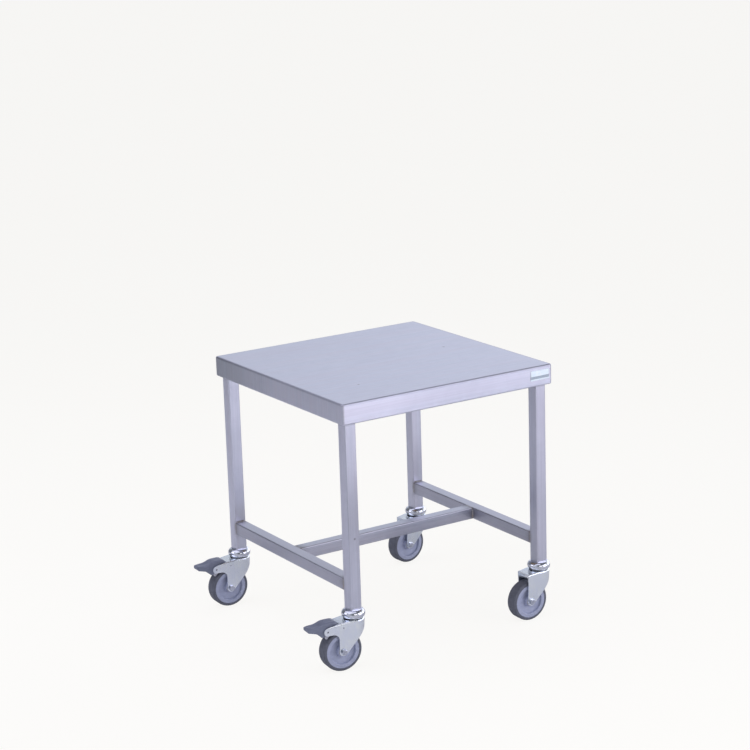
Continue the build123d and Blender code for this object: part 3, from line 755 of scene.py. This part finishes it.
def floor():
    """Pale floor: the sheet the camera sees, and the one that lights and reflects in the table."""
    paper = Graph("floor_paper", Roughness=0.95)
    paper.shader.inputs["Specular IOR Level"].default_value = 0.0
    paper.shader.inputs["Emission Strength"].default_value = 0.89
    cloud = paper.noise(paper.place(), 0.8, 3.0)
    paper.colour(paper.mix(cloud, (0.115, 0.117, 0.110), (0.121, 0.123, 0.116)))
    paper.tree.links.new(
        paper.mix(cloud, (1.0, 0.99, 0.97), (1.0, 0.992, 0.975)),
        paper.shader.inputs["Emission Color"],
    )
    seen = plane("floor_seen", paper)
    seen.visible_glossy = False
    seen.visible_diffuse = False
    seen.visible_shadow = False
    seen.visible_transmission = False
    bounce = Graph("floor_bounce", Roughness=1.0)
    bounce.shader.inputs["Specular IOR Level"].default_value = 0.0
    patches = bounce.noise(bounce.place(), 0.8, 3.0)
    bounce.colour(bounce.mix(patches, (0.79, 0.79, 0.79), (0.81, 0.81, 0.81)))
    lit = plane("floor_bounce", bounce)
    lit.location.z = -0.0005
    lit.visible_camera = False


AMBIENT = 0.19
# How sharply each directional part falls off, as a power of the cosine.
FALLOFF = 8.0

# Soft directional parts of the surroundings: azimuth, elevation, strength, colour.
SURROUND = [
    (0, 0, 2.4, (1.0, 1.0, 0.99)),
    (30, 0, 1.10, (0.80, 0.82, 1.0)),
    (60, 0, 0.80, (0.86, 0.90, 1.0)),
    (192, 12, 0.55, (0.88, 0.90, 1.0)),
]


def world():
    made = bpy.data.worlds.new("studio")
    bpy.context.scene.world = made
    made.use_nodes = True
    tree = made.node_tree
    tree.nodes.clear()

    def add(kind, **settings):
        node = tree.nodes.new(kind)
        for key, value in settings.items():
            setattr(node, key, value)
        return node

    coordinate = add("ShaderNodeTexCoord")
    glow = add("ShaderNodeBackground")
    glow.inputs["Color"].default_value = (0.88, 0.92, 1.0, 1.0)
    glow.inputs["Strength"].default_value = AMBIENT
    for azimuth, elevation, strength, tint in SURROUND:
        a, e = math.radians(azimuth), math.radians(elevation)
        toward = add("ShaderNodeVectorMath", operation="DOT_PRODUCT")
        toward.inputs[1].default_value = (
            math.cos(a) * math.cos(e),
            math.sin(a) * math.cos(e),
            math.sin(e),
        )
        tree.links.new(coordinate.outputs["Generated"], toward.inputs[0])
        front = add("ShaderNodeMath", operation="MAXIMUM")
        front.inputs[1].default_value = 0.0
        tree.links.new(toward.outputs["Value"], front.inputs[0])
        falloff = add("ShaderNodeMath", operation="POWER")
        falloff.inputs[1].default_value = FALLOFF
        tree.links.new(front.outputs[0], falloff.inputs[0])
        part = add("ShaderNodeBackground")
        part.inputs["Color"].default_value = (*tint, 1.0)
        power = add("ShaderNodeMath", operation="MULTIPLY")
        power.inputs[1].default_value = strength
        tree.links.new(falloff.outputs[0], power.inputs[0])
        tree.links.new(power.outputs[0], part.inputs["Strength"])
        both = add("ShaderNodeAddShader")
        tree.links.new(glow.outputs[0], both.inputs[0])
        tree.links.new(part.outputs[0], both.inputs[1])
        glow = both
    seen = add("ShaderNodeBackground")
    seen.inputs["Color"].default_value = (0.98, 0.975, 0.955, 1.0)
    path = add("ShaderNodeLightPath")
    either = add("ShaderNodeMixShader")
    out = add("ShaderNodeOutputWorld")
    tree.links.new(path.outputs["Is Camera Ray"], either.inputs[0])
    tree.links.new(glow.outputs[0], either.inputs[1])
    tree.links.new(seen.outputs[0], either.inputs[2])
    tree.links.new(either.outputs[0], out.inputs["Surface"])


# Softboxes: azimuth, distance, height, side, power in watts, colour.
SOFTBOXES = {
    "front_right": (-56, 3.0, 1.2, 2.2, 32.0, (0.89, 0.87, 1.0)),
    "front": (-100, 3.0, 1.3, 1.6, 10.0, (0.95, 0.90, 0.90)),
    "overhead": (165, 0.85, 2.6, 3.2, 32.0, (0.87, 0.85, 1.0)),
    "left": (160, 3.0, 1.3, 1.6, 12.0, (0.86, 0.84, 1.0)),
}
# Height of the point that they look at.
LAMP_AIM = 0.3


def softboxes():
    for name, (azimuth, distance, height, side, watts, colour) in SOFTBOXES.items():
        data = bpy.data.lights.new(name, "AREA")
        data.shape = "SQUARE"
        data.size = side
        data.energy = watts
        data.color = colour
        obj = bpy.data.objects.new(name, data)
        bpy.context.scene.collection.objects.link(obj)
        a = math.radians(azimuth)
        at = Vector((table_x + distance * math.cos(a), table_y + distance * math.sin(a), height))
        obj.location = at
        obj.rotation_mode = "QUATERNION"
        aim = Vector((table_x, table_y, LAMP_AIM))
        obj.rotation_quaternion = (aim - at).to_track_quat("-Z", "Y")


AZIMUTH, ELEVATION, ROLL = -32.50, 14.44, -1.81
CAMERA_AT = (-2.6444, -4.2002, 1.8965)
FOCAL_PIXELS, PICTURE_PIXELS, SENSOR = 2087.92, 750, 36.0


def camera():
    """Camera at the photo's place and viewing angle."""
    azimuth, elevation, roll = (math.radians(a) for a in (AZIMUTH, ELEVATION, ROLL))
    back = Vector(
        (
            math.sin(azimuth) * math.cos(elevation),
            -math.cos(azimuth) * math.cos(elevation),
            math.sin(elevation),
        )
    )
    across = Vector((0, 0, 1)).cross(back).normalized()
    up = back.cross(across)
    turned_across = across * math.cos(roll) + up * math.sin(roll)
    turned_up = up * math.cos(roll) - across * math.sin(roll)
    data = bpy.data.cameras.new("camera")
    data.sensor_width = SENSOR
    data.lens = FOCAL_PIXELS / PICTURE_PIXELS * SENSOR
    data.clip_end = 200.0
    obj = bpy.data.objects.new("camera", data)
    bpy.context.scene.collection.objects.link(obj)
    matrix = Matrix((turned_across, turned_up, back)).transposed().to_4x4()
    matrix.translation = CAMERA_AT
    obj.matrix_world = matrix
    bpy.context.scene.camera = obj


floor()
world()
softboxes()
camera()
bpy.context.scene.view_settings.view_transform = "Standard"
